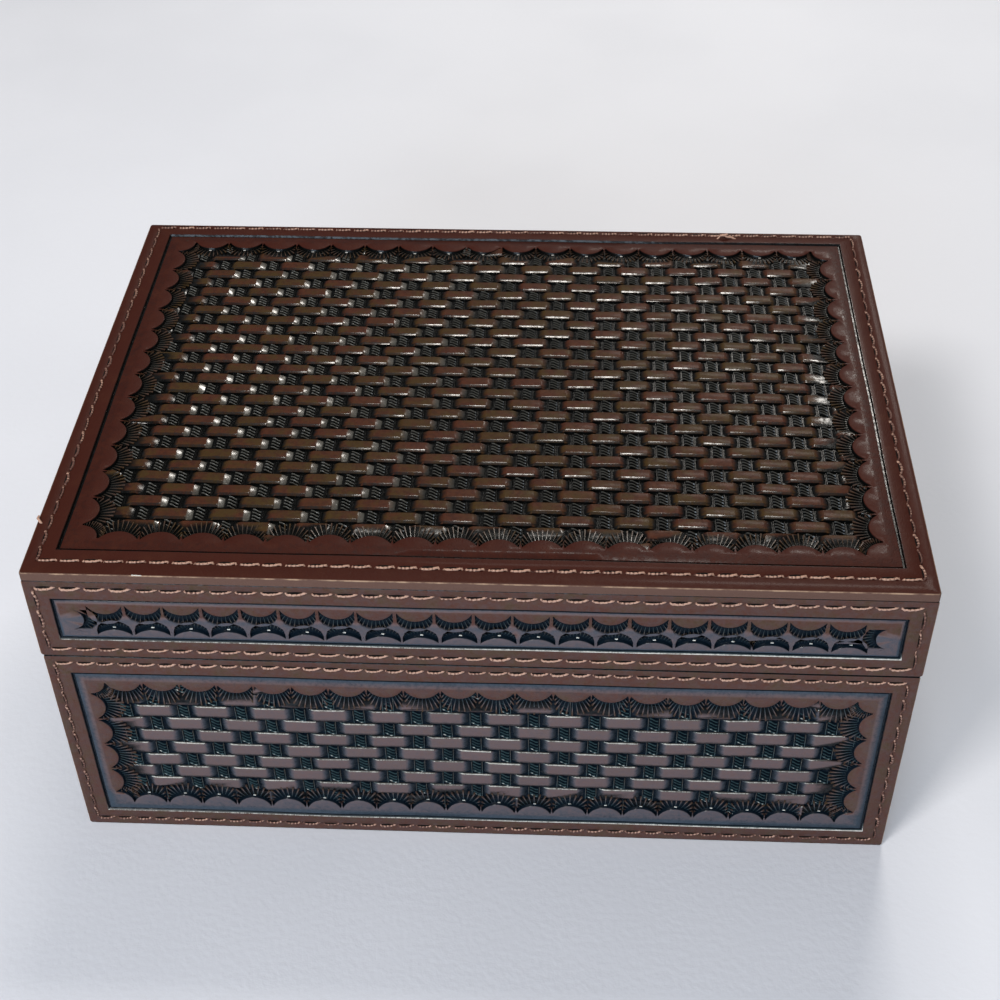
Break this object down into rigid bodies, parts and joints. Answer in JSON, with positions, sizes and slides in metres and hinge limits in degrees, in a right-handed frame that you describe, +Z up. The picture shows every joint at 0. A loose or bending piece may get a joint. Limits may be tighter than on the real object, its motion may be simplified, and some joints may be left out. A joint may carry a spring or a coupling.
{
  "type": "stationery box",
  "caption": "Hinged rectangular box for papers and keepsakes: wooden carcass covered in stitched, basketweave-tooled leather panels, with a suede lining.",
  "frame": {"origin": "middle of the overall box's underside: midway across the width, and midway between the front leather and the backs of the hinge knuckles, on the surface the box stands on", "axes": "+X to the right as seen from the front, +Y from the front to the back, +Z up"},
  "size_m": [0.254, 0.1864, 0.112],
  "materials": {
    "tooled_leather": "dark reddish-brown tooled leather, antiqued near-black in the recesses, glossy finish",
    "plain_leather": "plain dark brown leather, flesh side burnished",
    "waxed_thread": "twisted waxed thread, pale pinkish tan, soiled brown in places",
    "carcass_wood": "bare softwood board, planed",
    "suede_lining": "brown suede with a short nap",
    "hinge_brass": "satin brass, slightly tarnished"
  },
  "bodies": {
    "base": {"base_bottom_cover": "plain_leather", "base_bottom_board": "carcass_wood", "base_front_board": "carcass_wood", "base_back_board": "carcass_wood", "base_left_board": "carcass_wood", "base_right_board": "carcass_wood", "base_front_leather": "tooled_leather", "base_back_leather": "tooled_leather", "base_left_leather": "tooled_leather", "base_right_leather": "tooled_leather", "base_front_stitching": "waxed_thread", "base_back_stitching": "waxed_thread", "base_left_stitching": "waxed_thread", "base_right_stitching": "waxed_thread", "base_floor_lining": "suede_lining", "base_front_lining": "suede_lining", "base_back_lining": "suede_lining", "base_left_lining": "suede_lining", "base_right_lining": "suede_lining", "left_hinge_base_leaf": "hinge_brass", "right_hinge_base_leaf": "hinge_brass", "left_hinge_pin": "hinge_brass", "right_hinge_pin": "hinge_brass", "base_hinge_screws": "hinge_brass"},
    "lid": {"lid_top_board": "carcass_wood", "lid_front_board": "carcass_wood", "lid_back_board": "carcass_wood", "lid_left_board": "carcass_wood", "lid_right_board": "carcass_wood", "lid_top_leather": "tooled_leather", "lid_front_leather": "tooled_leather", "lid_back_leather": "tooled_leather", "lid_left_leather": "tooled_leather", "lid_right_leather": "tooled_leather", "lid_top_stitching": "waxed_thread", "lid_front_stitching": "waxed_thread", "lid_back_stitching": "waxed_thread", "lid_left_stitching": "waxed_thread", "lid_right_stitching": "waxed_thread", "lid_top_lining": "suede_lining", "lid_front_lining": "suede_lining", "lid_back_lining": "suede_lining", "lid_left_lining": "suede_lining", "lid_right_lining": "suede_lining", "left_hinge_lid_leaf": "hinge_brass", "right_hinge_lid_leaf": "hinge_brass", "lid_hinge_screws": "hinge_brass"}
  },
  "joints": [
    {"name": "lid_hinge", "type": "hinge", "parent": "base", "child": "lid", "pos_m": [0, 0.0907, 0.0787], "axis": [-1, 0, 0], "range_deg": [0, 100]}
  ]
}
